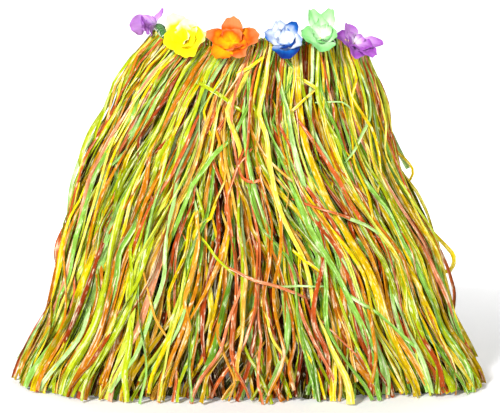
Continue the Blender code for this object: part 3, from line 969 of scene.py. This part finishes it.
def rings(path, ahead, radii, sides):
    """Rings of points round a path that runs ahead, their numbers and their flat positions."""
    ahead = unit(ahead)
    up = unit(np.array((0.0, 0.0, 1.0)) - ahead * ahead[:, 2:3])
    side = np.cross(ahead, up)
    angles = TAU * np.arange(sides) / sides
    circle = np.cos(angles)[None, :, None] * side[:, None, :]
    circle = circle + np.sin(angles)[None, :, None] * up[:, None, :]
    points = path[:, None, :] + radii[:, None, None] * circle
    index = np.arange(len(path) * sides).reshape(len(path), sides)
    flat = np.broadcast_arrays((radii.max() * angles)[None, :], run_along(path)[:, None])
    return points.reshape(-1, 3), index, np.stack(flat, axis=-1).reshape(-1, 2)


def looped_tube(path, radius, sides=8):
    """A closed ring-shaped tube round a looped path."""
    ahead = np.roll(path, -1, axis=0) - np.roll(path, 1, axis=0)
    points, index, uv = rings(path, ahead, np.full(len(path), radius), sides)
    return points, wall_quads(index, np.roll(index, -1, axis=0)), uv


def open_tube(path, radius, sides=6):
    """A closed tube along an open path, drawn in to a small face at each end."""
    radii = np.full(len(path), radius)
    radii[0] = radii[-1] = 0.55 * radius
    points, index, uv = rings(path, np.gradient(path, axis=0), radii, sides)
    caps = []
    for row, flip in ((index[0], False), (index[-1], True)):
        for corners in ((0, 1, 2, 3), (0, 3, 4, 5)):
            quad = tuple(row[list(corners)])
            caps.append(quad[::-1] if flip else quad)
    return points, np.concatenate([wall_quads(index[:-1], index[1:]), np.array(caps)]), uv


def join(parts):
    points, quads, uvs, start = [], [], [], 0
    for part_points, part_quads, part_uv in parts:
        points.append(part_points)
        quads.append(part_quads + start)
        uvs.append(part_uv)
        start += len(part_points)
    return np.concatenate(points), np.concatenate(quads), np.concatenate(uvs)


def make_cord():
    """Three green strands braided round the waist, and the pale thread stitched through them."""
    steps = PLAITS * PLAIT_STEPS
    shares = np.arange(steps) / steps
    turn = turn_at(shares)
    middle, _, out = frame_at(turn, 1.0, CORD_INSET)
    strands = []
    for strand in range(3):
        angle = TAU * (shares * PLAITS + strand / 3.0)
        path = middle + out * (STRAND_SWING_OUT * np.sin(2.0 * angle))[:, None]
        path[:, 2] += STRAND_SWING_UP * np.sin(angle)
        strands.append(looped_tube(path, STRAND_RADIUS))
    points, quads, uv = join(strands)
    braid = mesh_object("cord_braid", points, quads, uv=uv)
    green = thread_material("cord_thread", (0.010, 0.060, 0.008), (0.055, 0.22, 0.028), 900.0)
    braid.data.materials.append(green)
    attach(braid, "root")
    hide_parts("waistband")
    stitches = []
    for stitch in range(PLAITS * 2):
        share = (stitch + 0.5) / (PLAITS * 2)
        turn = turn_at(share + np.linspace(-STITCH_HALF_SHARE, STITCH_HALF_SHARE, STITCH_POINTS))
        lean = np.linspace(-1.0, 1.0, STITCH_POINTS)
        bulge = STITCH_OUT - STITCH_BOW * lean**2
        path, _, out = frame_at(turn, 1.0, CORD_INSET)
        path = path + out * bulge[:, None]
        path[:, 2] += STITCH_RISE * lean * (1.0 if stitch % 2 else -1.0)
        stitches.append(open_tube(path, STITCH_RADIUS))
    points, quads, uv = join(stitches)
    thread = mesh_object("cord_stitches", points, quads, uv=uv)
    pale = thread_material("pale_thread", (0.55, 0.62, 0.42), (0.85, 0.88, 0.72), 1500.0)
    thread.data.materials.append(pale)
    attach(thread, "root")


# Flowers

def flower_axes(turn_degrees, tilt, face):
    """The throat's place and the flower's directions along the cord, upwards and outwards."""
    outer_face = CORD_INSET - CORD_HALF_DEEP * 1.10
    spot, along, out = (values[0] for values in frame_at(math.radians(turn_degrees), 1.0, outer_face))
    up = np.array((0.0, 0.0, 1.0))
    seat_up, seat_in = FLOWER_SEAT
    base = spot + up * (seat_up * CORD_HALF_TALL) - out * (seat_in * CORD_HALF_DEEP)
    cosine, sine = math.cos(math.radians(face)), math.sin(math.radians(face))
    out, along = out * cosine + along * sine, along * cosine - out * sine
    lift = math.radians(tilt)
    axis = out * math.cos(lift) + up * math.sin(lift)
    rise = up * math.cos(lift) - out * math.sin(lift)
    return base + axis * FLOWER_CLEARANCE, np.stack([along, rise, axis])


def petal(rng, base, axes, tip, width, twist, shift):
    """One closed thin petal from the throat to its tip, creased along its middle and ruffled."""
    axis = axes[2]
    reach = tip @ axes
    level = reach - axis * (reach @ axis)
    level_way = level / np.linalg.norm(level)
    start = base - 0.0004 * level_way
    turn_point = base + axis * (0.55 * tip[2] + 0.002) + level * 0.36
    v = np.linspace(0.0, 1.0, PETAL_ROWS)[:, None]
    u = np.linspace(-1.0, 1.0, PETAL_COLUMNS)[None, :]
    phases = rng.uniform(0.0, TAU, 4)
    rounding = v * (1.0 - 0.27 * np.abs(u) ** 2.4 * v**2 + 0.018 * np.sin(9.0 * u + phases[0]) * v**3)
    s = rounding[:, :, None]
    line = (1.0 - s) ** 2 * start + 2.0 * s * (1.0 - s) * turn_point + s**2 * (base + reach)
    ahead = unit(2.0 * (1.0 - s) * (turn_point - start) + 2.0 * s * (base + reach - turn_point))
    side = np.cross(axis, level_way)
    side = unit(side - ahead * (ahead @ side)[:, :, None])
    normal = np.cross(ahead, side)
    angle = np.radians(twist) * smooth_step(s, 0.0, 0.55)
    cosine, sine = np.cos(angle), np.sin(angle)
    side, normal = side * cosine + normal * sine, normal * cosine - side * sine
    broad = 0.26 + 0.74 * np.sin(0.5 * math.pi * np.minimum(v / 0.66, 1.0)) ** 1.1
    half_wide = 0.5 * width * broad * (1.0 - 0.10 * v**6)
    deep = PETAL_CUP * width * u**2 * v
    deep = deep + PETAL_WAVE * np.sin(3.4 * u + phases[1]) * v**2
    deep = deep + PETAL_RUFFLE * np.sin(8.0 * u + phases[2]) * v**3
    deep = deep + PETAL_SKEW * np.sin(11.0 * v + phases[3]) * u
    deep = deep - PETAL_CREASE * np.exp(-((u / 0.16) ** 2)) * np.sin(math.pi * v)
    deep = deep + PETAL_SIDE_CREASE * np.exp(-(((np.abs(u) - 0.52) / 0.12) ** 2)) * np.sin(math.pi * v)
    middle = line + side * (half_wide * u)[:, :, None] + normal * deep[:, :, None]
    half = 0.5 * PETAL_THICK * normal
    points = np.concatenate([(middle + half).reshape(-1, 3), (middle - half).reshape(-1, 3)])
    index = np.arange(PETAL_ROWS * PETAL_COLUMNS).reshape(PETAL_ROWS, PETAL_COLUMNS)
    corners = [index[:-1, :-1], index[:-1, 1:], index[1:, 1:], index[1:, :-1]]
    above = np.stack(corners, axis=-1).reshape(-1, 4)
    below = above[:, ::-1] + index.size
    rim = np.concatenate([index[0, :-1], index[:-1, -1], index[-1, :0:-1], index[:0:-1, 0]])
    rim_under = rim + index.size
    edge = np.stack([rim, rim_under, np.roll(rim_under, -1), np.roll(rim, -1)], axis=-1)
    length = np.linalg.norm(reach)
    uv = np.stack([half_wide * u + rng.uniform(0.0, 1.0), length * rounding], axis=-1).reshape(-1, 2)
    tint = (v * (1.0 - 0.10 * (1.0 - np.abs(u))) + shift).ravel()
    quads = np.concatenate([above, below, edge])
    return points, quads, np.tile(uv, (2, 1)), np.tile(tint, 2), width * length


def make_flower(node, slot, place, colours, petals):
    """Petals in two layers: the ones in the table, and smaller ones in front of their gaps."""
    rng = np.random.default_rng(SEED + len(node) + int(abs(place[0])))
    base, axes = flower_axes(*place)
    rows = []
    for number, (tip_along, tip_up, tip_out, width, twist, shift) in enumerate(petals):
        tip = np.array((tip_along, tip_up, tip_out)) * MM
        rows.append((tip, width * MM, twist, shift))
        after = np.array(petals[(number + 1) % len(petals)][:3]) * MM
        between = INNER_PETAL_REACH * 0.5 * (tip + after)
        if np.linalg.norm(between) < SHORTEST_INNER_PETAL:
            continue
        between = between + np.array((0.0, 0.0, INNER_PETAL_FORWARD))
        rows.append((between, INNER_PETAL_WIDTH * width * MM, twist, shift - 0.05))
    parts, tints, area = [], [], 0.0
    for tip, width, twist, shift in rows:
        points, quads, uv, tint, cloth = petal(rng, base, axes, tip, width, twist, shift)
        parts.append((points, quads, uv))
        tints.append(tint)
        area += PETAL_FILL * cloth
    points, quads, uv = join(parts)
    flower = mesh_object(node.replace("flower", "petals"), points, quads, uv=uv, tint=np.concatenate(tints))
    flower.data.materials.append(petal_material(f"cloth_{node}", *colours))
    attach(flower, "root")
    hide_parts(node)


# Camera, lights and floor

def make_camera():
    data = bpy.data.cameras.new("camera")
    data.sensor_width = SENSOR_WIDE
    data.lens = FOCAL_PIXELS / PHOTO_WIDE * SENSOR_WIDE
    data.clip_start = 0.01
    camera = bpy.data.objects.new("camera", data)
    camera.location = CAMERA_PLACE
    camera.rotation_euler = (math.radians(90.0 - CAMERA_PITCH), 0.0, math.radians(-CAMERA_TURN))
    bpy.context.scene.collection.objects.link(camera)
    bpy.context.scene.camera = camera


def area_light(name, place, target, size, power):
    data = bpy.data.lights.new(name, "AREA")
    data.shape = "RECTANGLE"
    data.size, data.size_y = size
    data.energy = power
    light = bpy.data.objects.new(name, data)
    light.location = place
    direction = Vector(target) - Vector(place)
    light.rotation_euler = direction.to_track_quat("-Z", "Y").to_euler()
    bpy.context.scene.collection.objects.link(light)


def make_studio():
    for row in LIGHTS:
        area_light(*row)
    world = bpy.data.worlds.new("studio")
    world.use_nodes = True
    background = world.node_tree.nodes["Background"]
    background.inputs["Color"].default_value = (1.0, 1.0, 1.0, 1.0)
    background.inputs["Strength"].default_value = WORLD_LIGHT
    bpy.context.scene.world = world
    bpy.context.scene.view_settings.view_transform = "Standard"


def make_floor():
    """White paper that lies under the skirt and curves up far behind it, glowing away from it."""
    reach, bend_start, bend_radius, top = 7.0, 3.0, 1.5, 5.0
    angles = np.linspace(0.0, 0.5 * math.pi, 16)
    profile = [(-reach, 0.0)]
    profile += [
        (bend_start + bend_radius * math.sin(a), bend_radius * (1.0 - math.cos(a))) for a in angles
    ]
    profile.append((bend_start + bend_radius, top))
    points = np.array([(x, y, z) for y, z in profile for x in (-reach, reach)])
    rows = np.arange(len(profile) - 1) * 2
    paper = mesh_object("paper", points, np.stack([rows, rows + 1, rows + 3, rows + 2], axis=1))
    make = Nodes("white_paper")
    make.shader.inputs["Base Color"].default_value = (0.90, 0.90, 0.90, 1.0)
    make.shader.inputs["Roughness"].default_value = 0.7
    make.shader.inputs["Emission Color"].default_value = (1.0, 1.0, 1.0, 1.0)
    place = make.add("ShaderNodeTexCoord")
    length = make.add("ShaderNodeVectorMath", operation="LENGTH")
    make.link(place.outputs["Object"], length.inputs[0])
    glow = make.range(length.outputs["Value"], 0.30, 1.20, 0.12, 0.75)
    make.link(glow, make.shader.inputs["Emission Strength"])
    paper.data.materials.append(make.material)


make_camera()
make_studio()
make_floor()
make_outer_ribbons()
make_inner_ribbons()
make_cord()
for flower_row in FLOWERS:
    make_flower(*flower_row)
